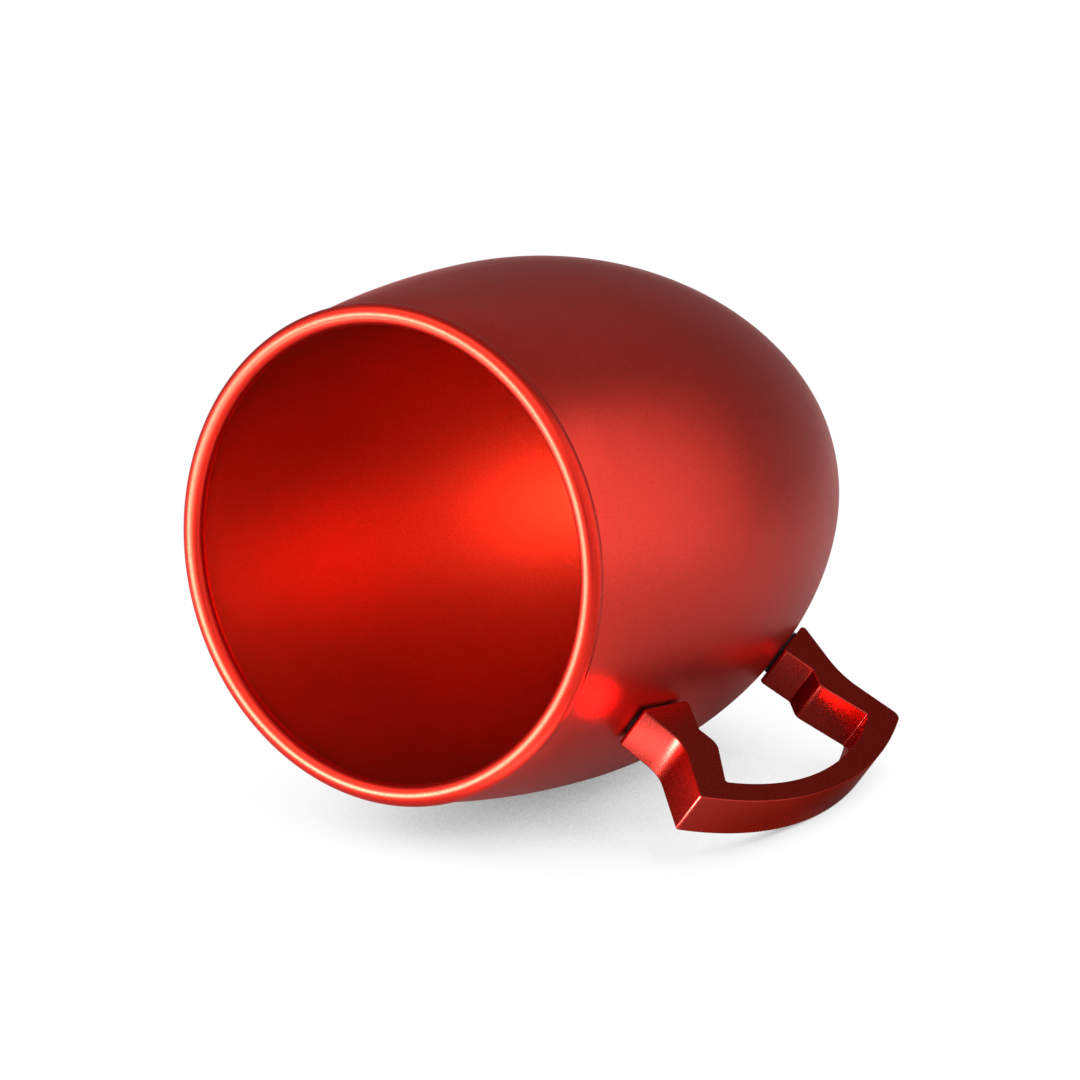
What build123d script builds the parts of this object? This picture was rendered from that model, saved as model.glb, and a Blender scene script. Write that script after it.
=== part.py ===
from build123d import *
from math import asin, cos, pi, sin, sqrt
import os

# A barrel mug spun from sheet aluminium, with a bar handle screwed on from inside.
# Millimetres: the base stands on z = 0, the mug's axis is Z and the handle points along +X.

# Bowl
height = 97.0  # base to the top of the rolled rim
belly_radius = 44.55  # widest part of the wall, outside
belly_height = 58.25
sheet = 1.0  # thickness of the wall and the base
lower_arc = 106.0  # the wall's curve below the belly
shoulder_arc = 205.0  # the wall's curve above the belly
neck_arc = 45.0  # the tighter curve just under the rim
neck_depth = 9.0
base_corner = 6.0
bead_radius = 1.85  # rolled rim, in section
curl_radius = 0.45  # end of the rolled sheet, tucked under the bead inside
curl_gap = 0.1  # fine crease between the bead and the curl's end

# Handle bar
bar_width = 7.8
edge_break = 0.25
finger_room = 21.0  # belly to the inside of the bow
bow_thickness = 3.7
bow_height = 51.4
bow_outer_arc = 75.5
bow_inner_arc = 57.3
upper_foot_height = 69.25
upper_foot_length = 13.0
lower_foot_height = 23.1
lower_foot_length = 11.4

# Corners of the arms, out from the foot's face and up from its middle
upper_valley = (8.0, 4.0)
upper_tip_rise = 11.4
upper_inside_rise = 2.2
upper_bulge = (10.0, -4.1)
upper_notch = (6.4, -2.9)
lower_valley = (9.8, -3.2)
lower_tip_rise = -8.5
lower_inside_rise = -0.6
lower_bump = (10.6, 4.6)
lower_notch = (7.4, 2.7)

# Rounding of the outline's corners
foot_rounding = 0.7
tip_rounding = 0.5
inside_rounding = 0.3
heel_rounding = 1.4
notch_rounding = 0.4
bump_rounding = 1.6
bulge_rounding = 2.5
valley_rounding = 5.0
long_valley_rounding = 11.0

# Fastening
gasket_thickness = 0.3
gasket_inset = 0.6  # from the edge of the foot
washer_thickness = 0.8
washer_radius = 3.6
screw_radius = 1.5
screw_bite = 4.4  # length of the screw in the foot
bore_end_gap = 0.8  # from the screw's end to the bottom of its bore
head_radius = 2.85
head_height = 1.65
head_lip = 0.35  # straight edge under the dome
key_flats = 2.0  # hexagon socket, across flats
key_depth = 1.0
thread_clearance = 0.05
hole_clearance = 0.2
seat_clearance = 0.02  # between a seal and the curved wall

rim_height = height - bead_radius


def polar(centre, radius, angle):
    """Point at a radius and angle from a centre, in the section plane."""
    return centre + Vector(radius * cos(angle), radius * sin(angle))


def wall_arcs():
    """Centre, radius, first and last angle of each arc of the outer wall, from the base up."""
    base_tilt = -asin((belly_height - base_corner) / (lower_arc - base_corner))
    neck_tilt = asin((rim_height - neck_depth - belly_height) / shoulder_arc)
    rim_tilt = asin(sin(neck_tilt) + neck_depth / neck_arc)
    low = Vector(belly_radius - lower_arc, belly_height)
    high = Vector(belly_radius - shoulder_arc, belly_height)
    corner = polar(low, lower_arc - base_corner, base_tilt)
    neck = polar(high, shoulder_arc - neck_arc, neck_tilt)
    return [
        (corner, base_corner, -pi / 2, base_tilt),
        (low, lower_arc, base_tilt, 0),
        (high, shoulder_arc, 0, neck_tilt),
        (neck, neck_arc, neck_tilt, rim_tilt),
    ]


def rim_point(inset):
    """Upper end of the wall line at an inset from the outer face."""
    centre, radius, _, rim_tilt = wall_arcs()[-1]
    return polar(centre, radius - inset, rim_tilt)


def half_section(inset, top):
    """Area from the axis to the wall line at an inset, closed by a flat line at the top height."""
    edges = []
    for centre, radius, first, last in wall_arcs():
        angles = (first, (first + last) / 2, last)
        edges.append(ThreePointArc(*(polar(centre, radius - inset, angle) for angle in angles)))
    start = edges[0] @ 0
    end = edges[-1] @ 1
    edges.append(Polyline(end, (end.X, top), (0, top), (0, start.Y), start))
    return make_face(edges)


def bowl_form(inset, top):
    """Solid of revolution inside the wall line at an inset."""
    return revolve(Plane.XZ * half_section(inset, top), Axis.Z)


def foot_frame(foot_height):
    """Plane on the outer wall at a height, looking straight out of it."""
    arc = shoulder_arc if foot_height > belly_height else lower_arc
    tilt = asin((foot_height - belly_height) / arc)
    place = (belly_radius - arc * (1 - cos(tilt)), 0, foot_height)
    return Plane(origin=place, x_dir=(0, 1, 0), z_dir=(cos(tilt), 0, sin(tilt)))


def round_bar(frame, radius, start, end):
    """Round bar along a frame's normal, from one height over the wall to another."""
    length = end - start
    bar = Cylinder(radius, length, align=(Align.CENTER, Align.CENTER, Align.MIN))
    return frame * Pos(0, 0, start) * bar


def make_mug_body(feet):
    section = half_section(0, rim_height + bead_radius / 2) - half_section(sheet, height)
    bead_reach = (rim_point(0).X + rim_point(sheet).X) / 2
    bead = Pos(bead_reach, rim_height) * Circle(bead_radius)
    neck, _, _, rim_tilt = wall_arcs()[-1]
    curl_turn = (bead_radius + curl_radius + curl_gap) / (neck_arc - sheet)
    curl = Pos(polar(neck, neck_arc - sheet, rim_tilt - curl_turn)) * Circle(curl_radius)
    body = revolve(Plane.XZ * (section + bead + curl), Axis.Z)
    for frame in feet.values():
        body -= round_bar(frame, screw_radius + hole_clearance, -2 * sheet, sheet)
    return body


def foot_face(frame, length):
    """Lower end, middle and upper end of a foot's flat face, as points of the outline."""
    middle = frame.origin + gasket_thickness * frame.z_dir
    along = Vector(-frame.z_dir.Z, frame.z_dir.X)
    middle = Vector(middle.X, middle.Z)
    return middle - along * length / 2, middle, middle + along * length / 2


def bow_point(arc, reach, level):
    """Point at a level on the arc that reaches furthest out at the bow's height."""
    return Vector(reach - arc + sqrt(arc**2 - (level - bow_height) ** 2), level)


def handle_outline(feet):
    """The handle from the side, with the feet on the left and the bow on the right."""
    upper_low, upper, upper_high = foot_face(feet["upper"], upper_foot_length)
    lower_low, lower, lower_high = foot_face(feet["lower"], lower_foot_length)
    inner_reach = belly_radius + finger_room
    outer_reach = inner_reach + bow_thickness
    upper_tip = bow_point(bow_outer_arc, outer_reach, upper.Y + upper_tip_rise)
    lower_tip = bow_point(bow_outer_arc, outer_reach, lower.Y + lower_tip_rise)
    upper_inside = bow_point(bow_inner_arc, inner_reach, upper.Y + upper_inside_rise)
    lower_inside = bow_point(bow_inner_arc, inner_reach, lower.Y + lower_inside_rise)
    over = [
        (upper_low, foot_rounding),
        (upper_high, foot_rounding),
        (upper + Vector(*upper_valley), valley_rounding),
        (upper_tip, tip_rounding),
    ]
    below = [
        (lower_tip, heel_rounding),
        (lower + Vector(*lower_valley), long_valley_rounding),
        (lower_low, foot_rounding),
        (lower_high, foot_rounding),
        (lower + Vector(*lower_notch), notch_rounding),
        (lower + Vector(*lower_bump), bump_rounding),
        (lower_inside, inside_rounding),
    ]
    inside = [
        (upper_inside, inside_rounding),
        (upper + Vector(*upper_bulge), bulge_rounding),
        (upper + Vector(*upper_notch), notch_rounding),
    ]
    edges = [
        Polyline(*(point for point, _ in over)),
        ThreePointArc(upper_tip, (outer_reach, bow_height), lower_tip),
        Polyline(*(point for point, _ in below)),
        ThreePointArc(lower_inside, (inner_reach, bow_height), upper_inside),
        Polyline(*(point for point, _ in inside), upper_low),
    ]
    outline = make_face(edges)
    for corner, rounding in over + below + inside:
        outline = fillet(outline.vertices().sort_by_distance(corner)[0], rounding)
    return outline


def make_handle(feet):
    bar = extrude(Plane.XZ * handle_outline(feet), bar_width / 2, both=True)
    rims = [edge for side in bar.faces().filter_by(Axis.Y) for edge in side.edges()]
    bar = chamfer(rims, edge_break)
    for frame in feet.values():
        bore_end = gasket_thickness + screw_bite + bore_end_gap
        bar -= round_bar(frame, screw_radius + thread_clearance, 0, bore_end)
    return bar


def make_gasket(frame, foot_length):
    """Pad that fills the gap between the wall and a foot, set back from the foot's edges."""
    outline = SlotOverall(foot_length - 2 * gasket_inset, bar_width - 2 * gasket_inset, rotation=90)
    pad = frame * extrude(outline, gasket_thickness) + frame * extrude(outline, -sheet)
    pad -= bowl_form(-seat_clearance, height)
    return pad - round_bar(frame, screw_radius + hole_clearance, -sheet, gasket_thickness)


def make_washer(frame):
    """Sealing washer between the screw's head and the inside of the wall."""
    disc = round_bar(frame, washer_radius, -sheet - washer_thickness, 0)
    disc &= bowl_form(sheet + seat_clearance, height)
    return disc - round_bar(frame, screw_radius + hole_clearance, -sheet - washer_thickness, 0)


def make_screw(frame):
    """Button-head screw with a hexagon socket, from the inside of the bowl into a foot."""
    seat = -sheet - washer_thickness
    crown = seat - head_height
    dome = head_height - head_lip
    dome_arc = (head_radius**2 + dome**2) / (2 * dome)
    head = round_bar(Plane.XY, head_radius, crown, seat)
    head &= Pos(0, 0, crown + dome_arc) * Sphere(dome_arc)
    hexagon = RegularPolygon(key_flats / 2, 6, major_radius=False)
    head -= Pos(0, 0, crown) * extrude(hexagon, key_depth)
    return frame * (head + round_bar(Plane.XY, screw_radius, seat, gasket_thickness + screw_bite))


feet = {"upper": foot_frame(upper_foot_height), "lower": foot_frame(lower_foot_height)}
foot_lengths = {"upper": upper_foot_length, "lower": lower_foot_length}
nodes = {"mug_body": make_mug_body(feet), "handle": make_handle(feet)}
for place, frame in feet.items():
    nodes[place + "_gasket"] = make_gasket(frame, foot_lengths[place])
    nodes[place + "_washer"] = make_washer(frame)
    nodes[place + "_screw"] = make_screw(frame)

os.makedirs("parts", exist_ok=True)
for name, solid in nodes.items():
    export_step(solid, f"parts/{name}.step")
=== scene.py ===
from math import acos, asin, atan2, cos, pi, radians, sin

import bpy
import numpy as np
from bpy.props import FloatProperty, FloatVectorProperty, IntProperty, PointerProperty
from mathutils import Matrix, Vector


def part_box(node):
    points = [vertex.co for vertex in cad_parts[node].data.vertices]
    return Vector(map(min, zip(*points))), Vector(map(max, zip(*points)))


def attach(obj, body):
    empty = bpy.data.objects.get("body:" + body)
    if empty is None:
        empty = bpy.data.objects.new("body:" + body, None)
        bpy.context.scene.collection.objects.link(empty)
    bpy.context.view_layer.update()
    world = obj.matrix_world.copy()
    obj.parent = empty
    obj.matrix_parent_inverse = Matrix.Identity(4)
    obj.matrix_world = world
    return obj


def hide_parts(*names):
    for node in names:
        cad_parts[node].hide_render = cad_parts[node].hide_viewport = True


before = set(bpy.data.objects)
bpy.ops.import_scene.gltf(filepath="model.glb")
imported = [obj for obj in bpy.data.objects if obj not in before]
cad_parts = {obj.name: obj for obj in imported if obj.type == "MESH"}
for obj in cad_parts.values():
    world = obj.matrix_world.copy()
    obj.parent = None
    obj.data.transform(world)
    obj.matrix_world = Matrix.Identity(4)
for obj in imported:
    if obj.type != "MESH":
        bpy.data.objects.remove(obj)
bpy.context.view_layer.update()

bl_info = {
    "name": "Barrel Mug",
    "version": (1, 0, 0),
    "blender": (4, 5, 0),
    "location": "3D View > Sidebar > Mug",
    "description": "Red anodised barrel mug with a bar handle, lying on a white table",
    "category": "Add Mesh",
}

BOWL_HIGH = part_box("mug_body")[1]
BAR_LOW, BAR_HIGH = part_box("handle")
MM = 0.001

# Points along the runs of the bowl's section
BASE_STEPS = 8
WALL_STEPS = (14, 60, 40)  # base corner, below the belly and above it
NECK_STEPS = 14
BEAD_STEPS = 44
CREASE_STEPS = 3
CURL_STEPS = 14

# Points along the runs of the handle's outline, and round its broken edges
CORNER_STEPS = 13
BOW_STEPS = 72
EDGE_STEPS = 5
SIDE_INSET = 1.6  # where the bar's flat sides begin, in edge breaks from the outline

SHARP_FOLD = radians(40)  # folds above this angle aren't smoothed


def length(name, description, millimetres):
    """A length that a user may change, given in millimetres and kept in metres."""
    return FloatProperty(name=name, description=description, default=millimetres * MM, unit="LENGTH")


def angle(name, description, degrees):
    """An angle that a user may change, given in degrees and kept in radians."""
    return FloatProperty(name=name, description=description, default=radians(degrees), subtype="ANGLE")


def share(name, description, default):
    """A plain number from nought to one that a user may change."""
    return FloatProperty(name=name, description=description, default=default, subtype="FACTOR")


def colour(name, description, default):
    """A linear colour that a user may change."""
    return FloatVectorProperty(name=name, description=description, default=default, subtype="COLOR")


def place(name, description, out, up):
    """A corner of the handle, out from its foot's face and up from its middle, in millimetres."""
    default = (out * MM, up * MM)
    return FloatVectorProperty(name=name, description=description, size=2, default=default, unit="LENGTH")


def panel(name, turn, rise, distance, width, height, brightness):
    """A light or a flag round the mug: its turn from the camera's side and its rise over the table in
    degrees, its distance, width and height in millimetres, and its brightness, where white is one."""
    about = "Turn, rise, distance, width, height and brightness"
    default = (radians(turn), radians(rise), distance * MM, width * MM, height * MM, brightness)
    return FloatVectorProperty(name=name, description=about, size=6, default=default)


class BowlSizes(bpy.types.PropertyGroup):
    """Sizes of the spun bowl."""

    height: length("Height", "Base to the top of the rolled rim", BOWL_HIGH.z / MM)
    belly_radius: length("Belly radius", "Widest part of the wall, outside", BOWL_HIGH.y / MM)
    belly_height: length("Belly height", "Where the wall is widest", 58.25)
    sheet: length("Sheet", "Thickness of the wall and the base", 1.0)
    lower_arc: length("Lower arc", "The wall's curve below the belly", 106.0)
    shoulder_arc: length("Shoulder arc", "The wall's curve above the belly", 205.0)
    neck_arc: length("Neck arc", "The tighter curve just under the rim", 45.0)
    neck_depth: length("Neck depth", "Height of the tighter curve", 9.0)
    base_corner: length("Base corner", "Rounding between the base and the wall", 6.0)
    bead_radius: length("Bead radius", "Rolled rim, in section", 1.85)
    curl_radius: length("Curl radius", "End of the rolled sheet, inside under the bead", 0.45)
    curl_gap: length("Curl gap", "Crease between the bead and the curl's end", 0.1)
    turns: IntProperty(name="Steps round", description="Faces round the axis", default=300)


class HandleSizes(bpy.types.PropertyGroup):
    """Sizes of the bar handle."""

    bar_width: length("Bar width", "Thickness of the bar", (BAR_HIGH.y - BAR_LOW.y) / MM)
    edge_break: length("Edge break", "Rounding along the bar's edges", 0.25)
    outer_reach: length("Reach", "Axis to the outside of the bow", BAR_HIGH.x / MM)
    bow_thickness: length("Bow thickness", "Bar between the arms", 3.7)
    bow_height: length("Bow height", "Where the bow reaches furthest out", 51.4)
    bow_outer_arc: length("Outer arc", "Curve of the bow's outside", 75.5)
    bow_inner_arc: length("Inner arc", "Curve of the bow's inside", 57.3)
    foot_gap: length("Foot gap", "Wall to the face of a foot", 0.3)
    upper_foot_height: length("Upper foot height", "Middle of the upper foot", 69.25)
    upper_foot_length: length("Upper foot length", "Upper foot along the wall", 13.0)
    lower_foot_height: length("Lower foot height", "Middle of the lower foot", 23.1)
    lower_foot_length: length("Lower foot length", "Lower foot along the wall", 11.4)
    upper_valley: place("Upper valley", "Dip on top of the upper arm", 8.0, 4.0)
    upper_tip_rise: length("Upper tip", "Top of the bow over the foot's middle", 11.4)
    upper_inside_rise: length("Upper inside", "Bow's inner end over the foot's middle", 2.2)
    upper_bulge: place("Upper bulge", "Knee under the upper arm", 10.0, -4.1)
    upper_notch: place("Upper notch", "Dip under the upper arm", 6.4, -2.9)
    lower_valley: place("Lower valley", "Dip under the lower arm", 9.8, -3.2)
    lower_tip_rise: length("Lower tip", "End of the bow over the foot's middle", -8.5)
    lower_inside_rise: length("Lower inside", "Bow's inner end over the foot's middle", -0.6)
    lower_bump: place("Lower bump", "Knee on top of the lower arm", 10.6, 4.6)
    lower_notch: place("Lower notch", "Dip on top of the lower arm", 7.4, 2.7)
    foot_rounding: length("Foot rounding", "Corners of the feet", 0.7)
    tip_rounding: length("Tip rounding", "Outer end of the bow at the upper arm", 0.5)
    inside_rounding: length("Inside rounding", "Inner ends of the bow", 0.3)
    heel_rounding: length("Heel rounding", "Outer end of the bow at the lower arm", 1.4)
    notch_rounding: length("Notch rounding", "Dips beside the feet", 0.4)
    bump_rounding: length("Bump rounding", "Knee of the lower arm", 1.6)
    bulge_rounding: length("Bulge rounding", "Knee of the upper arm", 2.5)
    valley_rounding: length("Valley rounding", "Dip of the upper arm", 5.0)
    long_valley_rounding: length("Long valley rounding", "Dip of the lower arm", 11.0)


class Finishes(bpy.types.PropertyGroup):
    """Colours and gloss of the mug's finishes."""

    bowl_red: colour("Bowl red", "Dyed oxide on the bowl", (0.90, 0.059, 0.041))
    bead_red: colour("Bead red", "Dyed oxide on the rolled rim", (0.90, 0.034, 0.020))
    # painted shade: the inside's red is darker and more orange than the bowl's, standing in for the
    # hollow's shade
    painted_shade_inside_red: colour("Inside red", "Dyed oxide inside the bowl", (0.57, 0.108, 0.066))
    handle_red: colour("Handle red", "Dyed oxide on the handle", (0.53, 0.042, 0.031))
    bowl_edge: colour("Bowl edge", "Tint of the bowl's gloss at a flat angle", (1.0, 1.0, 1.0))
    handle_edge: colour("Handle edge", "Tint of the handle's gloss at a flat angle", (1.0, 0.45, 0.42))
    bowl_roughness: share("Bowl roughness", "Satin of the blasted sheet", 0.35)
    bead_roughness: share("Bead roughness", "Satin of the rolled rim", 0.31)
    inside_roughness: share("Inside roughness", "Satin of the bowl's inside", 0.34)
    handle_roughness: share("Handle roughness", "Satin of the milled bar", 0.26)
    steel: colour("Steel", "Screws", (0.56, 0.55, 0.53))
    rubber: colour("Rubber", "Washers and pads", (0.004, 0.003, 0.003))


class StageSettings(bpy.types.PropertyGroup):
    """Table, lights and camera."""

    rest_turn: angle("Resting turn", "Handle round from straight down", 53.3)
    rest_tilt: angle("Resting tilt", "Mouth up from level", 6.7)
    table_white: colour("Table", "White table top", (0.60, 0.60, 0.60))
    # painted shade: depth and reach of the shade that the table's glow and colour have painted in from
    # how much the mug covers them
    painted_shade_depth: share("Shade depth", "How much the mug darkens the table under it", 0.80)
    painted_shade_reach: length("Shade reach", "How far the mug's soft shade spreads", 88.0)
    table_side: length("Table side", "Length of the table's sides", 3000.0)
    room: share("Room", "Brightness of the room round the table", 0.25)
    left_light: panel("Left light", 296, 4, 800, 460, 240, 54.0)
    floor_light: panel("Floor light", 303, -8, 170, 130, 36, 16.0)
    right_light: panel("Right light", 80, 16, 260, 200, 280, 1.0)
    high_light: panel("High light", 310, 55, 900, 1040, 380, 2.2)
    low_light: panel("Low light", 354, -31, 74, 34, 14, 3.0)
    table_light: panel("Table light", 60, 40, 300, 120, 120, 5.0)
    view_flag: panel("View flag", 0, 16.7, 1200, 440, 700, 0.0)
    side_flag: panel("Side flag", 100, 15, 800, 900, 760, 0.15)
    back_flag: panel("Back flag", 181, 20, 1000, 5200, 820, 0.18)
    top_flag: panel("Top flag", 181, 78, 1100, 2400, 1500, 0.24)
    view_target: FloatVectorProperty(
        name="View target",
        description="Middle of the picture",
        default=(0.00326, -0.00165, 0.05368),
        unit="LENGTH",
    )
    view_turn: angle("View turn", "Camera round from the handle", 56.468)
    view_rise: angle("View rise", "Camera above the mug's middle plane", 54.407)
    view_roll: angle("View roll", "Camera about its own axis", -104.337)
    view_distance: length("View distance", "Camera from the target", 1333.24)
    lens: FloatProperty(name="Lens", description="Focal length", default=264.17, unit="CAMERA")


class MugSettings(bpy.types.PropertyGroup):
    """All that a user may change."""

    bowl: PointerProperty(type=BowlSizes)
    handle: PointerProperty(type=HandleSizes)
    finish: PointerProperty(type=Finishes)
    stage: PointerProperty(type=StageSettings)


def polar(centre, radius, turn):
    """Centre plus radius times (cos turn, sin turn)."""
    return np.array(centre) + radius * np.array([cos(turn), sin(turn)])


def arc(centre, radius, first, last, count):
    """Points of a circle, centre + radius (cos t, sin t), with t in even steps from first to last."""
    t = np.linspace(first, last, count)[:, None]
    return np.array(centre) + radius * np.hstack([np.cos(t), np.sin(t)])


def wall_arcs(bowl):
    """Centre, radius, first and last angle of each arc of the outer wall, from the base up."""
    rim_height = bowl.height - bowl.bead_radius
    base_tilt = -asin((bowl.belly_height - bowl.base_corner) / (bowl.lower_arc - bowl.base_corner))
    neck_tilt = asin((rim_height - bowl.neck_depth - bowl.belly_height) / bowl.shoulder_arc)
    rim_tilt = asin(sin(neck_tilt) + bowl.neck_depth / bowl.neck_arc)
    low = (bowl.belly_radius - bowl.lower_arc, bowl.belly_height)
    high = (bowl.belly_radius - bowl.shoulder_arc, bowl.belly_height)
    corner = polar(low, bowl.lower_arc - bowl.base_corner, base_tilt)
    neck = polar(high, bowl.shoulder_arc - bowl.neck_arc, neck_tilt)
    return [
        (corner, bowl.base_corner, -pi / 2, base_tilt),
        (low, bowl.lower_arc, base_tilt, 0),
        (high, bowl.shoulder_arc, 0, neck_tilt),
        (neck, bowl.neck_arc, neck_tilt, rim_tilt),
    ]


def crossing(centre, radius, other, other_radius, side):
    """Angle about a circle's centre of the point where it meets another circle, on one side of the line
    between the centres: the line's angle plus side times acos((r*r + d*d - s*s) / (2*r*d)), for the
    radii r and s and the distance d."""
    gap = np.array(other) - np.array(centre)
    reach = np.hypot(*gap)
    opening = acos((radius**2 + reach**2 - other_radius**2) / (2 * radius * reach))
    return atan2(gap[1], gap[0]) + side * opening


def bowl_section(bowl):
    """The bowl's section as (radius, height) rows: from the axis under the base, up the outer arcs,
    over the bead, round the curl and down the inner arcs to the axis again. Beside it come each row's
    angle round the bead, from straight out, and whether the row lies inside."""
    arcs = wall_arcs(bowl)
    neck, neck_radius, neck_tilt, rim_tilt = arcs[-1]
    inner_radius = neck_radius - bowl.sheet
    rim_middle = (polar(neck, neck_radius, rim_tilt) + polar(neck, inner_radius, rim_tilt)) / 2
    bead = (rim_middle[0], bowl.height - bowl.bead_radius)
    outer_end = crossing(neck, neck_radius, bead, bowl.bead_radius, -1)
    inner_end = crossing(neck, inner_radius, bead, bowl.bead_radius, -1)
    bead_first = crossing(bead, bowl.bead_radius, neck, neck_radius, 1)
    bead_last = crossing(bead, bowl.bead_radius, neck, inner_radius, 1) + 2 * pi
    curl_turn = (bowl.bead_radius + bowl.curl_radius + bowl.curl_gap) / inner_radius
    curl = polar(neck, inner_radius, rim_tilt - curl_turn)
    curl_high = crossing(neck, inner_radius, curl, bowl.curl_radius, 1)
    curl_low = crossing(neck, inner_radius, curl, bowl.curl_radius, -1)
    curl_first = crossing(curl, bowl.curl_radius, neck, inner_radius, -1)
    curl_last = crossing(curl, bowl.curl_radius, neck, inner_radius, 1)
    base_steps = np.linspace(0, arcs[0][0][0], BASE_STEPS)[:-1]
    outer_arcs = [arc(*row, count)[:-1] for row, count in zip(arcs[:3], WALL_STEPS)]
    inner_arcs = [
        arc(centre, radius - bowl.sheet, last, first, count)[1:]
        for (centre, radius, first, last), count in zip(arcs[:3], WALL_STEPS)
    ]
    outer = [
        np.column_stack([base_steps, np.zeros_like(base_steps)]),
        *outer_arcs,
        arc(neck, neck_radius, neck_tilt, outer_end, NECK_STEPS),
    ]
    rim = arc(bead, bowl.bead_radius, bead_first, bead_last, BEAD_STEPS)[1:]
    inner = [
        arc(neck, inner_radius, inner_end, curl_high, CREASE_STEPS)[1:],
        arc(curl, bowl.curl_radius, curl_first, curl_last, CURL_STEPS)[1:],
        arc(neck, inner_radius, curl_low, neck_tilt, NECK_STEPS)[1:],
        *inner_arcs[::-1],
        np.column_stack([base_steps[::-1], np.full_like(base_steps, bowl.sheet)]),
    ]
    before, after = (sum(map(len, runs)) for runs in (outer, inner))
    turned = np.linspace(bead_first, bead_last, len(rim) + 1)[1:]
    turned = np.concatenate([np.full(before, bead_first), turned, np.full(after, bead_last)])
    inside = np.repeat([0.0, 1.0], [before + len(rim), after])
    return np.vstack([*outer, rim, *inner]), turned, inside


def foot_frame(bowl, height):
    """Point of the outer wall at a height, with the directions straight out of it and up along it."""
    curve = bowl.shoulder_arc if height > bowl.belly_height else bowl.lower_arc
    tilt = asin((height - bowl.belly_height) / curve)
    wall = np.array([bowl.belly_radius - curve * (1 - cos(tilt)), height])
    return wall, np.array([cos(tilt), sin(tilt)]), np.array([-sin(tilt), cos(tilt)])


def bow_circle(curve, reach, handle):
    """Centre and radius of the arc that reaches furthest out at the bow's height."""
    return np.array([reach - curve, handle.bow_height]), curve


def bow_turn(curve, level, handle):
    """Angle on a bow's arc at a level: asin of the rise over the bow's height, by the radius."""
    return asin((level - handle.bow_height) / curve)


def rounded(corners, roundings, steps):
    """Each corner of a closed line cut by an arc of its own radius that touches both its sides.
    corners holds a point, the direction into it and the direction out of it, as an array (n, 3, 2)."""
    point, inward, outward = corners[:, 0], corners[:, 1], corners[:, 2]
    cross = inward[:, 0] * outward[:, 1] - inward[:, 1] * outward[:, 0]
    turn = np.arctan2(cross, (inward * outward).sum(1))
    setback = roundings * np.tan(np.abs(turn) / 2)
    side = np.sign(turn)[:, None] * np.column_stack([-inward[:, 1], inward[:, 0]])
    start = point - inward * setback[:, None]
    centre = start + side * roundings[:, None]
    swept = turn[:, None] * np.linspace(0, 1, steps)[None, :]
    spoke = (start - centre)[:, None, :]
    across = np.stack([-spoke[..., 1], spoke[..., 0]], axis=-1)
    return centre[:, None, :] + spoke * np.cos(swept)[..., None] + across * np.sin(swept)[..., None]


def handle_outline(bowl, handle):
    """The handle from the side as (out, up) rows, anticlockwise: upper arm, inside of the bow, lower
    arm and outside of the bow, with every corner rounded."""
    upper_wall, upper_out, upper_along = foot_frame(bowl, handle.upper_foot_height)
    lower_wall, lower_out, lower_along = foot_frame(bowl, handle.lower_foot_height)
    upper = upper_wall + handle.foot_gap * upper_out
    lower = lower_wall + handle.foot_gap * lower_out
    inner_reach = handle.outer_reach - handle.bow_thickness
    bows = {
        "outer": bow_circle(handle.bow_outer_arc, handle.outer_reach, handle),
        "inner": bow_circle(handle.bow_inner_arc, inner_reach, handle),
    }
    upper_tip = bow_turn(handle.bow_outer_arc, upper[1] + handle.upper_tip_rise, handle)
    lower_tip = bow_turn(handle.bow_outer_arc, lower[1] + handle.lower_tip_rise, handle)
    upper_inside = bow_turn(handle.bow_inner_arc, upper[1] + handle.upper_inside_rise, handle)
    lower_inside = bow_turn(handle.bow_inner_arc, lower[1] + handle.lower_inside_rise, handle)
    upper_arm = [
        (polar(*bows["outer"], upper_tip), handle.tip_rounding),
        (upper + np.array(handle.upper_valley), handle.valley_rounding),
        (upper + upper_along * handle.upper_foot_length / 2, handle.foot_rounding),
        (upper - upper_along * handle.upper_foot_length / 2, handle.foot_rounding),
        (upper + np.array(handle.upper_notch), handle.notch_rounding),
        (upper + np.array(handle.upper_bulge), handle.bulge_rounding),
        (polar(*bows["inner"], upper_inside), handle.inside_rounding),
    ]
    lower_arm = [
        (polar(*bows["inner"], lower_inside), handle.inside_rounding),
        (lower + np.array(handle.lower_bump), handle.bump_rounding),
        (lower + np.array(handle.lower_notch), handle.notch_rounding),
        (lower + lower_along * handle.lower_foot_length / 2, handle.foot_rounding),
        (lower - lower_along * handle.lower_foot_length / 2, handle.foot_rounding),
        (lower + np.array(handle.lower_valley), handle.long_valley_rounding),
        (polar(*bows["outer"], lower_tip), handle.heel_rounding),
    ]
    line = upper_arm + lower_arm
    points = np.array([point for point, _ in line])
    roundings = np.array([rounding for _, rounding in line])
    ahead = np.roll(points, -1, axis=0) - points
    ahead /= np.hypot(*ahead.T)[:, None]
    behind = np.roll(ahead, 1, axis=0)
    # At its four ends the bow leaves along its arcs
    split = len(upper_arm)
    behind[0] = (-sin(upper_tip), cos(upper_tip))
    ahead[-1] = (-sin(lower_tip), cos(lower_tip))
    ahead[split - 1] = (sin(upper_inside), -cos(upper_inside))
    behind[split] = (sin(lower_inside), -cos(lower_inside))
    arcs = rounded(np.stack([points, behind, ahead], axis=1), roundings, CORNER_STEPS)
    spans = {}
    for name, before, after in (("inner", split - 1, split), ("outer", -1, 0)):
        centre, radius = bows[name]
        ends = [arcs[before, -1] - centre, arcs[after, 0] - centre]
        first, last = (atan2(end[1], end[0]) for end in ends)
        spans[name] = arc(centre, radius, first, last, BOW_STEPS)[1:-1]
    return np.vstack([
        arcs[:split].reshape(-1, 2),
        spans["inner"],
        arcs[split:].reshape(-1, 2),
        spans["outer"],
    ])


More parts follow.
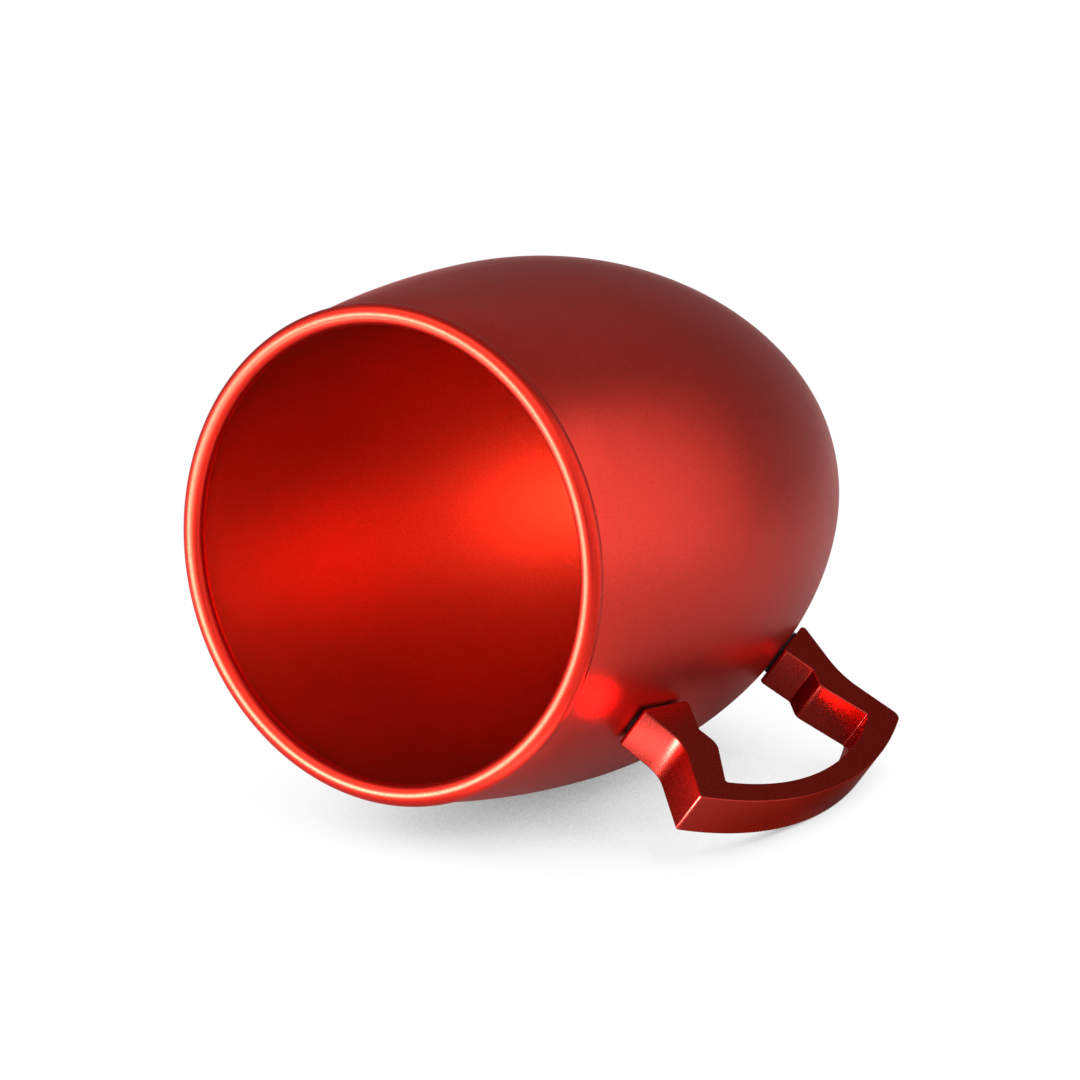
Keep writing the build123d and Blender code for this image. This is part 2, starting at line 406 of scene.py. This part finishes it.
def quads(rows, columns):
    """Corner numbers of the faces of a grid that is open along its rows and closed round its columns."""
    row, column = np.meshgrid(np.arange(rows - 1), np.arange(columns), indexing="ij")
    after = (column + 1) % columns
    corners = np.stack([row * columns + column, row * columns + after], axis=-1)
    return np.concatenate([corners, corners[..., ::-1] + columns], axis=-1).reshape(-1, 4)


def spun_surface(section, turns):
    """A section turned about Z: (r cos a, r sin a, z) for each row (r, z) and each angle a, with the
    first and last rows, which lie on the axis, as single points. Gives points and faces."""
    a = np.arange(turns) * 2 * pi / turns
    radius, height = section[1:-1, :1], section[1:-1, 1:]
    grid = np.broadcast_arrays(radius * np.cos(a), radius * np.sin(a), height)
    rings = np.stack(grid, axis=-1).reshape(-1, 3)
    poles = np.column_stack([np.zeros((2, 2)), section[[0, -1], 1]])
    under, over = len(rings), len(rings) + 1
    first = np.arange(turns)
    last = first + len(rings) - turns
    under_fan = np.column_stack([np.full(turns, under), np.roll(first, -1), first])
    over_fan = np.column_stack([np.full(turns, over), last, np.roll(last, -1)])
    faces = quads(len(section) - 2, turns).tolist() + under_fan.tolist() + over_fan.tolist()
    return np.vstack([rings, poles]), faces


def bar_surface(outline, width, edge_break):
    """An outline (x, z) carried across a bar's width: at each step the outline moves in along its own
    normal by b (1 - cos t) while y goes to w/2 - b + b sin t, and flat faces close the two sides."""
    along = np.roll(outline, -1, axis=0) - np.roll(outline, 1, axis=0)
    along /= np.hypot(*along.T)[:, None]
    inward = np.column_stack([-along[:, 1], along[:, 0]])
    t = np.linspace(0, pi / 2, EDGE_STEPS)
    inset = np.append(edge_break * (1 - np.cos(t)), SIDE_INSET * edge_break)
    level = np.append(width / 2 - edge_break * (1 - np.sin(t)), width / 2)
    inset = np.concatenate([inset[::-1], inset])[:, None, None]
    level = np.concatenate([-level[::-1], level])[:, None]
    rings = outline + inset * inward
    y = np.broadcast_to(level, rings.shape[:2])
    points = np.stack([rings[..., 0], y, rings[..., 1]], axis=-1).reshape(-1, 3)
    count = len(outline)
    front = np.arange(count)
    back = front + len(points) - count
    faces = quads(len(rings), count).tolist() + [front[::-1].tolist(), back.tolist()]
    return points, faces


def put(name, data):
    """Puts an object with a mesh, a light or a camera into the scene."""
    thing = bpy.data.objects.new(name, data)
    bpy.context.scene.collection.objects.link(thing)
    return thing


def mark(piece, name, values):
    """Keeps a number for each point of a piece, under a name that its finish reads."""
    piece.data.attributes.new(name, "FLOAT", "POINT").data.foreach_set("value", values)


def add_piece(name, points, faces, material, slot, *nodes):
    """Puts a surface into the scene as a piece that rides on the mug and stands for its solids."""
    mesh = bpy.data.meshes.new(name)
    mesh.from_pydata(points, [], faces)
    if mesh.validate():
        raise RuntimeError(f"{name}: the surface has faulty faces")
    mesh.shade_smooth()
    mesh.set_sharp_from_angle(angle=SHARP_FOLD)
    mesh.materials.append(material)
    piece = put(name, mesh)
    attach(piece, "root")
    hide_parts(*nodes)
    return piece


class Wire:
    """A shader value that takes part in sums: every operation adds one Math node."""

    def __init__(self, recipe, socket):
        self.recipe, self.socket = recipe, socket

    def math(self, operation, *values):
        node = self.recipe.node("Math", {"operation": operation}, dict(enumerate(values)))
        return node.wire("Value")

    def __add__(self, other):
        return self.math("ADD", self, other)

    def __sub__(self, other):
        return self.math("SUBTRACT", self, other)

    def __rsub__(self, other):
        return self.math("SUBTRACT", other, self)

    def __mul__(self, other):
        return self.math("MULTIPLY", self, other)

    def __pow__(self, other):
        return self.math("POWER", self, other)

    def __abs__(self):
        return self.math("ABSOLUTE", self)

    def root(self):
        """The square root."""
        return self.math("SQRT", self)

    def turn(self, other):
        """The angle whose tangent is this value over the other."""
        return self.math("ARCTAN2", self, other)

    __radd__ = __add__
    __rmul__ = __mul__


class Step:
    """A node of a recipe, whose outputs are taken as wires by name."""

    def __init__(self, recipe, node):
        self.recipe, self.node = recipe, node

    def wire(self, name):
        return Wire(self.recipe, self.node.outputs[name])


class Recipe:
    """The node tree of a material or the world, built by type, settings and inputs."""

    def __init__(self, tree):
        self.tree = tree
        tree.nodes.clear()

    def node(self, kind, settings=None, inputs=None):
        """Adds a node. Its settings come first, then the values or wires of its sockets, by name or
        number."""
        node = self.tree.nodes.new("ShaderNode" + kind)
        for key, value in (settings or {}).items():
            setattr(node, key, value)
        for key, value in (inputs or {}).items():
            if isinstance(value, Wire):
                self.tree.links.new(value.socket, node.inputs[key])
            else:
                node.inputs[key].default_value = value
        return Step(self, node)


def new_recipe(name):
    """A fresh material and its recipe."""
    material = bpy.data.materials.new(name)
    material.use_nodes = True
    return material, Recipe(material.node_tree)


def opaque(tone):
    """A colour with full alpha."""
    return (*tone, 1.0)


def scaled(tone, amount):
    """A colour with every part times an amount."""
    return [amount * part for part in tone]


def spot(recipe):
    """Where a point lies in the object's own coordinates."""
    return recipe.node("TexCoord").wire("Object")


def axes(recipe, where):
    """The three coordinates of a place."""
    parts = recipe.node("SeparateXYZ", {}, {0: where})
    return [parts.wire(axis) for axis in "XYZ"]


def noise(recipe, scale, detail, stretch=(1, 1, 1)):
    """A noise from nought to one on the object's own coordinates, in features per metre."""
    stretched = recipe.node("Mapping", {}, {"Vector": spot(recipe), "Scale": stretch}).wire("Vector")
    inputs = {"Vector": stretched, "Scale": scale, "Detail": detail, "Roughness": 0.6}
    return recipe.node("TexNoise", {}, inputs).wire("Fac")


def streaks(recipe, where, scale):
    """A noise from nought to one along a single number."""
    inputs = {"W": where, "Scale": scale, "Detail": 3.0, "Roughness": 0.65}
    return recipe.node("TexNoise", {"noise_dimensions": "1D"}, inputs).wire("Fac")


def ramp(recipe, value, low, high, curve="LINEAR"):
    """How far a value has come from a low bound to a high one, kept from nought to one."""
    inputs = {"Value": value, "From Min": low, "From Max": high}
    return recipe.node("MapRange", {"interpolation_type": curve}, inputs).wire("Result")


def blend(amount, first, second):
    """A value between two values."""
    return first * (1.0 - amount) + second * amount


def spread(value, low, high):
    """A value from nought to one carried to the range from low to high."""
    return low + value * (high - low)


def tint(recipe, amount, first, second):
    """A colour between two colours."""
    inputs = {"Factor": amount, 6: first, 7: second}
    return recipe.node("Mix", {"data_type": "RGBA"}, inputs).wire(2)


def close_surface(recipe, shader):
    """Sends a shader to the material's surface."""
    recipe.node("OutputMaterial", {}, {"Surface": shader})


def close_finish(recipe, height, relief, sockets):
    """Sends a Principled shader to the material's surface, with a relief of some strength and depth that
    follows a height."""
    strength, depth = relief
    bump = recipe.node("Bump", {}, {"Height": height, "Strength": strength, "Distance": depth})
    shader = recipe.node("BsdfPrincipled", {}, {**sockets, "Normal": bump.wire("Normal")})
    close_surface(recipe, shader.wire("BSDF"))


# Fineness of each finish, in features per metre, or per radian across the bead
GRAIN = 4200.0
SPINNING_RINGS = 1500.0
CUTTER_LINES = 1400.0
BEAD_LINES = 260.0
BOWL_CLOUD = 60.0
HANDLE_CLOUD = 90.0
SCRATCHES = 900.0
MOTTLE = 2200.0

# Strength and depth of each finish's relief
BLASTED = (0.30, 0.04 * MM)
MILLED = (0.18, 0.04 * MM)
SCRATCHED = (0.2, 0.05 * MM)
MOTTLED = (0.3, 0.05 * MM)

# Share of the grain in each red, beside the cloud, the bead's lines, the rings and the cutter's lines
BOWL_GRAIN = 0.6
BEAD_GRAIN = 0.5
INSIDE_GRAIN = 0.7
HANDLE_GRAIN = 0.6
HANDLE_FINE = 0.7  # share of the handle's grain and lines together, beside its cloud

# Gloss of each finish, as how far it strays from its roughness or as the roughness itself
BOWL_STRAY = 0.03
HANDLE_STRAY = 0.04
STEEL_ROUGHNESS = (0.22, 0.38)
RUBBER_ROUGHNESS = (0.62, 0.82)
RUBBER_GLOSS = 0.35

CONTRAST = (0.3, 0.7)  # part of a noise that is carried to the range from nought to one
BEAD_START = (-0.3, 0.3)  # angle round the bead over which its finish sets in
BEAD_RUB = 0.6  # how much of the grain is rubbed off the bead
RING_HEIGHT = 0.2  # spinning rings inside, beside the grain
DEEP_RED = 0.70  # the dye where it is deepest, as a share of its red
CUTTER_SLANT = 0.6  # slant of the cutter's lines on the bar's sides
SCRATCH_STRETCH = (1, 6, 1)
DARK_STEEL = 0.7  # scratches, as a share of the steel
GREY_RUBBER = 2.2  # mottle, as a share of the rubber


def blasted_grain(recipe):
    """The fine grain that blasting leaves before the metal is dyed."""
    return ramp(recipe, noise(recipe, GRAIN, 1.0), *CONTRAST)


def clouded(recipe, amount, red):
    """A red that is deeper where amount is low."""
    return tint(recipe, amount, opaque(scaled(red, DEEP_RED)), opaque(red))


def dyed_metal(recipe, red, edge, roughness, height, relief):
    """Dyed aluminium with the tint that its gloss has at a flat angle."""
    close_finish(recipe, height, relief, {
        "Base Color": red,
        "Metallic": 1.0,
        "Roughness": roughness,
        "Specular Tint": opaque(edge),
    })


def spun_red(name, finish):
    """Blasted and dyed sheet: fine grain and a slight cloud all over, fine lines across the bead and
    faint rings from spinning inside, where a darker red is painted shade."""
    material, recipe = new_recipe(name)
    inside = recipe.node("Attribute", {"attribute_name": "inside"}).wire("Fac")
    turned = recipe.node("Attribute", {"attribute_name": "bead_turn"}).wire("Fac")
    bead = ramp(recipe, turned, *BEAD_START) * (1.0 - inside)
    x, y, z = axes(recipe, spot(recipe))
    out = (x * x + y * y).root()
    rings = streaks(recipe, z + out, SPINNING_RINGS)
    across = ramp(recipe, streaks(recipe, y.turn(x), BEAD_LINES), *CONTRAST)
    grain = blasted_grain(recipe)
    cloud = noise(recipe, BOWL_CLOUD, 3.0)
    outer_red = clouded(recipe, blend(BOWL_GRAIN, cloud, grain), finish.bowl_red)
    bead_red = clouded(recipe, blend(BEAD_GRAIN, across, grain), finish.bead_red)
    # painted shade: the inside takes a darker red than the outside
    painted_shade_inner_red = clouded(recipe, blend(INSIDE_GRAIN, rings, grain), finish.painted_shade_inside_red)
    red = tint(recipe, inside, tint(recipe, bead, outer_red, bead_red), painted_shade_inner_red)
    fine = grain * (1.0 - BEAD_RUB * bead) + rings * inside * RING_HEIGHT + across * bead
    satin = finish.bowl_roughness
    roughness = spread(fine, satin - BOWL_STRAY, satin + BOWL_STRAY)
    roughness = roughness + inside * (finish.inside_roughness - satin)
    roughness = roughness + bead * (finish.bead_roughness - satin)
    dyed_metal(recipe, red, finish.bowl_edge, roughness, fine, BLASTED)
    return material


def milled_red(name, finish):
    """Milled and dyed bar: slanting lines from the cutter on its sides and a fine grain all over."""
    material, recipe = new_recipe(name)
    x, _, z = axes(recipe, spot(recipe))
    lines = streaks(recipe, x + CUTTER_SLANT * z, CUTTER_LINES)
    grain = blasted_grain(recipe)
    cloud = noise(recipe, HANDLE_CLOUD, 3.0)
    fine = blend(HANDLE_GRAIN, lines, grain)
    red = clouded(recipe, blend(HANDLE_FINE, cloud, fine), finish.handle_red)
    satin = finish.handle_roughness
    roughness = spread(fine, satin - HANDLE_STRAY, satin + HANDLE_STRAY)
    dyed_metal(recipe, red, finish.handle_edge, roughness, fine, MILLED)
    return material


def turned_steel(name, steel):
    """Steel with fine scratches and small differences in gloss."""
    material, recipe = new_recipe(name)
    scratch = noise(recipe, SCRATCHES, 3.0, SCRATCH_STRETCH)
    close_finish(recipe, scratch, SCRATCHED, {
        "Base Color": tint(recipe, scratch, opaque(scaled(steel, DARK_STEEL)), opaque(steel)),
        "Metallic": 1.0,
        "Roughness": spread(scratch, *STEEL_ROUGHNESS),
    })
    return material


def matt_rubber(name, rubber):
    """Dull black rubber with a fine mottle."""
    material, recipe = new_recipe(name)
    mottle = noise(recipe, MOTTLE, 3.0)
    close_finish(recipe, mottle, MOTTLED, {
        "Base Color": tint(recipe, mottle, opaque(rubber), opaque(scaled(rubber, GREY_RUBBER))),
        "Roughness": spread(mottle, *RUBBER_ROUGHNESS),
        "Specular IOR Level": RUBBER_GLOSS,
    })
    return material


def dress(material, slot, *nodes):
    """Gives CAD nodes a finish."""
    for name in nodes:
        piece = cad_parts[name]
        piece.data.materials.clear()
        piece.data.materials.append(material)


class MUG_OT_bowl(bpy.types.Operator):
    """Spins the bowl with its rolled rim"""

    bl_idname = "mug.bowl"
    bl_label = "Bowl"

    def execute(self, context):
        mug = context.scene.mug
        section, turned, inside = bowl_section(mug.bowl)
        points, faces = spun_surface(section, mug.bowl.turns)
        red = spun_red("bowl_red", mug.finish)
        bowl = add_piece("spun_bowl", points, faces, red, "bowl_red", "mug_body")
        for name, rows in (("bead_turn", turned), ("inside", inside)):
            mark(bowl, name, np.append(np.repeat(rows[1:-1], mug.bowl.turns), rows[[0, -1]]))
        return {"FINISHED"}


class MUG_OT_handle(bpy.types.Operator):
    """Cuts the handle from flat bar"""

    bl_idname = "mug.handle"
    bl_label = "Handle"

    def execute(self, context):
        mug = context.scene.mug
        outline = handle_outline(mug.bowl, mug.handle)
        points, faces = bar_surface(outline, mug.handle.bar_width, mug.handle.edge_break)
        red = milled_red("handle_red", mug.finish)
        add_piece("bar_handle", points, faces, red, "handle_red", "handle")
        return {"FINISHED"}


class MUG_OT_fastening(bpy.types.Operator):
    """Gives the screws, washers and pads their finish"""

    bl_idname = "mug.fastening"
    bl_label = "Fastening"

    def execute(self, context):
        finish = context.scene.mug.finish
        steel = turned_steel("screw_steel", finish.steel)
        rubber = matt_rubber("seal_black", finish.rubber)
        dress(steel, "screw_steel", "upper_screw", "lower_screw")
        dress(rubber, "seal_black", "upper_washer", "lower_washer", "upper_gasket", "lower_gasket")
        return {"FINISHED"}


class MUG_OT_stage(bpy.types.Operator):
    """Lays the table under the mug and sets the lights and the camera"""

    bl_idname = "mug.stage"
    bl_label = "Stage"

    def execute(self, context):
        stage = context.scene.mug.stage
        context.scene.view_settings.view_transform = "Standard"
        down = Vector((
            cos(stage.rest_tilt) * cos(stage.rest_turn),
            -cos(stage.rest_tilt) * sin(stage.rest_turn),
            -sin(stage.rest_tilt),
        ))
        lay_table(stage, down)
        set_camera(context.scene, stage)
        light_room(context.scene, stage, down)
        return {"FINISHED"}


# The table, in metres from the spot under the picture's middle
TABLE_FADE = (0.60, 2.00)  # from the top's own white to nothing but the backdrop
SKY_SAMPLES = 8
# painted shade: where the mug covers the top fully, its colour falls to this share of white
PAINTED_SHADE_TONE = 0.3  # light that the top keeps where the mug covers it
# painted shade: the camera sees the top's white glow darkened by the mug's cover
PAINTED_SHADE_FALL = 6.0  # how quickly the shade in the picture fades with less cover
# painted light: a faint glow of the top under the mug, seen only by the metal
CONTACT_GLOW = 0.08  # what the metal mirrors of the top where the mug covers it

# Painted light: glowing patches of the top that only the metal mirrors, each bound from nought to full
BEFORE_DEPTH = (-0.04, -0.09)
BEFORE_WIDTH = (0.08, 0.03)
BEYOND_DEPTH = (0.15, 0.22)
BEYOND_WIDTH = (0.14, 0.06)

SENSOR_WIDTH = 36.0  # millimetres
CLIP_END = 20.0

LIGHTS = ("left_light", "floor_light", "right_light", "high_light", "low_light", "table_light")
FLAGS = ("view_flag", "side_flag", "back_flag", "top_flag")


def lowest(down):
    """How far the mug reaches in a direction."""
    reach = 0.0
    for name in ("spun_bowl", "bar_handle"):
        mesh = bpy.data.objects[name].data
        points = np.empty(3 * len(mesh.vertices), np.float32)
        mesh.vertices.foreach_get("co", points)
        reach = max(reach, float((points.reshape(-1, 3) @ np.array(down)).max()))
    return reach


def view_back(stage):
    """Direction from the mug to the camera."""
    level = cos(stage.view_rise)
    return Vector((level * cos(stage.view_turn), level * sin(stage.view_turn), sin(stage.view_rise)))


def table_sides(stage, down):
    """Level directions towards the camera's side and to its right."""
    back = view_back(stage)
    front = (back - back.dot(down) * down).normalized()
    return front, front.cross(down)


def card(name, width, height, material):
    """A flat rectangle, width by height, that faces along its own Z."""
    mesh = bpy.data.meshes.new(name)
    corners = [(x * width / 2, y * height / 2, 0) for x, y in ((-1, -1), (1, -1), (1, 1), (-1, 1))]
    mesh.from_pydata(corners, [], [(0, 1, 2, 3)])
    mesh.materials.append(material)
    return put(name, mesh)


def glow(recipe, strength):
    """A surface that shines white by itself."""
    return recipe.node("Emission", {}, {"Strength": strength}).wire("Emission")


def between(recipe, amount, first, second):
    """A shader between two shaders."""
    return recipe.node("MixShader", {}, {0: amount, 1: first, 2: second}).wire("Shader")


def shown_rays(path):
    """Rays from the camera, and those that metal or glass sends on."""
    return path.wire("Is Camera Ray") + path.wire("Is Glossy Ray") + path.wire("Is Transmission Ray")


def white_with_painted_shade(name, stage):
    """A white top that glows white for the camera, with the mug's soft shade painted into that glow, and
    fades into a white backdrop. What the metal mirrors of it is darker, with painted shade in its colour
    where the mug covers it, a glowing patch before the mug and one beyond it and a faint glow where the
    mug touches it.
    From below it is clear."""
    material, recipe = new_recipe(name)
    path = recipe.node("LightPath")
    where = spot(recipe)
    x, y, _ = axes(recipe, where)
    away = recipe.node("VectorMath", {"operation": "LENGTH"}, {0: where}).wire("Value")
    far = ramp(recipe, away, *TABLE_FADE, "SMOOTHSTEP")
    sky = {"Distance": stage.painted_shade_reach}
    open_sky = recipe.node("AmbientOcclusion", {"samples": SKY_SAMPLES}, sky).wire("AO")
    covered = 1.0 - open_sky
    # painted shade in the top's colour, which the metal mirrors
    painted_shade_share = PAINTED_SHADE_TONE + (1.0 - PAINTED_SHADE_TONE) * open_sky
    tone = tint(recipe, painted_shade_share, opaque((0, 0, 0)), opaque(stage.table_white))
    white = recipe.node("BsdfDiffuse", {}, {"Color": tone}).wire("BSDF")
    # painted shade in the white glow that the camera sees
    picture = glow(recipe, 1.0 - stage.painted_shade_depth * covered**PAINTED_SHADE_FALL)
    backdrop = glow(recipe, 1.0)
    # painted light: two glowing patches and a faint glow under the mug, which only the metal mirrors
    before = ramp(recipe, y, *BEFORE_DEPTH) * ramp(recipe, x, *BEFORE_WIDTH)
    beyond = ramp(recipe, y, *BEYOND_DEPTH) * ramp(recipe, abs(x), *BEYOND_WIDTH)
    under = CONTACT_GLOW * covered * covered
    painted_glow_share = (before + beyond + under) * path.wire("Is Glossy Ray")
    near = between(recipe, painted_glow_share, white, backdrop)
    near = between(recipe, path.wire("Is Camera Ray"), near, picture)
    faded = between(recipe, far, near, backdrop)
    above = between(recipe, shown_rays(path), white, faded)
    clear = recipe.node("BsdfTransparent").wire("BSDF")
    behind = recipe.node("NewGeometry").wire("Backfacing")
    close_surface(recipe, between(recipe, behind, above, clear))
    return material


def lay_table(stage, down):
    """A square table top, level under the lying mug, whose own X and Y run right and away in the
    picture."""
    table = card("table_top", stage.table_side, stage.table_side, white_with_painted_shade("table_white", stage))
    front, right = table_sides(stage, down)
    level = Matrix((right, -front, -down)).transposed().to_4x4()
    target = Vector(stage.view_target)
    table.matrix_world = Matrix.Translation(target + down * (lowest(down) - target.dot(down))) @ level


def set_camera(scene, stage):
    """The camera on a sphere round its target, as the photograph was taken."""
    back = view_back(stage)
    data = bpy.data.cameras.new("camera")
    data.lens = stage.lens
    data.sensor_width = SENSOR_WIDTH
    data.clip_end = CLIP_END
    camera = put("camera", data)
    turn = (-back).to_track_quat("-Z", "Y").to_matrix() @ Matrix.Rotation(stage.view_roll, 3, "Z")
    stand = Vector(stage.view_target) + back * stage.view_distance
    camera.matrix_world = Matrix.Translation(stand) @ turn.to_4x4()
    scene.camera = camera


def panel_place(setting, stage, down):
    """Where a panel stands and how it is turned to face the mug."""
    turn, rise, distance = setting[:3]
    up = -down
    front, right = table_sides(stage, down)
    toward = cos(rise) * (cos(turn) * front + sin(turn) * right) + sin(rise) * up
    across = up.cross(toward).normalized()
    facing = Matrix((across, toward.cross(across), toward)).transposed().to_4x4()
    return Matrix.Translation(Vector(stage.view_target) + toward * distance) @ facing


def hang_light(name, setting, stage, down):
    """A soft light that faces the mug."""
    width, height, brightness = setting[3:]
    data = bpy.data.lights.new(name, "AREA")
    data.shape = "RECTANGLE"
    data.size, data.size_y = width, height
    data.energy = brightness * pi * width * height
    light = put(name, data)
    light.matrix_world = panel_place(setting, stage, down)
    light.visible_camera = False
    return light


def hang_flag(name, setting, stage, down):
    """A dim card out of the picture, which the metal shows as its dark side."""
    width, height, brightness = setting[3:]
    material, recipe = new_recipe(name)
    close_surface(recipe, glow(recipe, brightness))
    flag = card(name, width, height, material)
    flag.matrix_world = panel_place(setting, stage, down)
    flag.visible_camera = False


def light_room(scene, stage, down):
    """Soft lights and dim cards in a white room that gives little light of its own."""
    world = bpy.data.worlds.new("room")
    scene.world = world
    world.use_nodes = True
    recipe = Recipe(world.node_tree)
    strength = stage.room + shown_rays(recipe.node("LightPath")) * (1.0 - stage.room)
    room = recipe.node("Background", {}, {"Color": opaque((1, 1, 1)), "Strength": strength})
    recipe.node("OutputWorld", {}, {"Surface": room.wire("Background")})
    lights = {name: hang_light(name, getattr(stage, name), stage, down) for name in LIGHTS}
    lights["table_light"].visible_glossy = False  # it lights only the table, so no metal mirrors it
    for name in FLAGS:
        hang_flag(name, getattr(stage, name), stage, down)


class MUG_PT_panel(bpy.types.Panel):
    """Lists what builds the mug"""

    bl_label = "Barrel Mug"
    bl_space_type = "VIEW_3D"
    bl_region_type = "UI"
    bl_category = "Mug"

    def draw(self, context):
        for operator in OPERATORS:
            self.layout.operator(operator.bl_idname)


OPERATORS = (MUG_OT_bowl, MUG_OT_handle, MUG_OT_fastening, MUG_OT_stage)
CLASSES = (BowlSizes, HandleSizes, Finishes, StageSettings, MugSettings, *OPERATORS, MUG_PT_panel)


def register():
    for each in CLASSES:
        bpy.utils.register_class(each)
    bpy.types.Scene.mug = PointerProperty(type=MugSettings)


def unregister():
    del bpy.types.Scene.mug
    for each in reversed(CLASSES):
        bpy.utils.unregister_class(each)


def main():
    register()
    bpy.ops.mug.bowl()
    bpy.ops.mug.handle()
    bpy.ops.mug.fastening()
    bpy.ops.mug.stage()


if __name__ == "__main__":
    main()
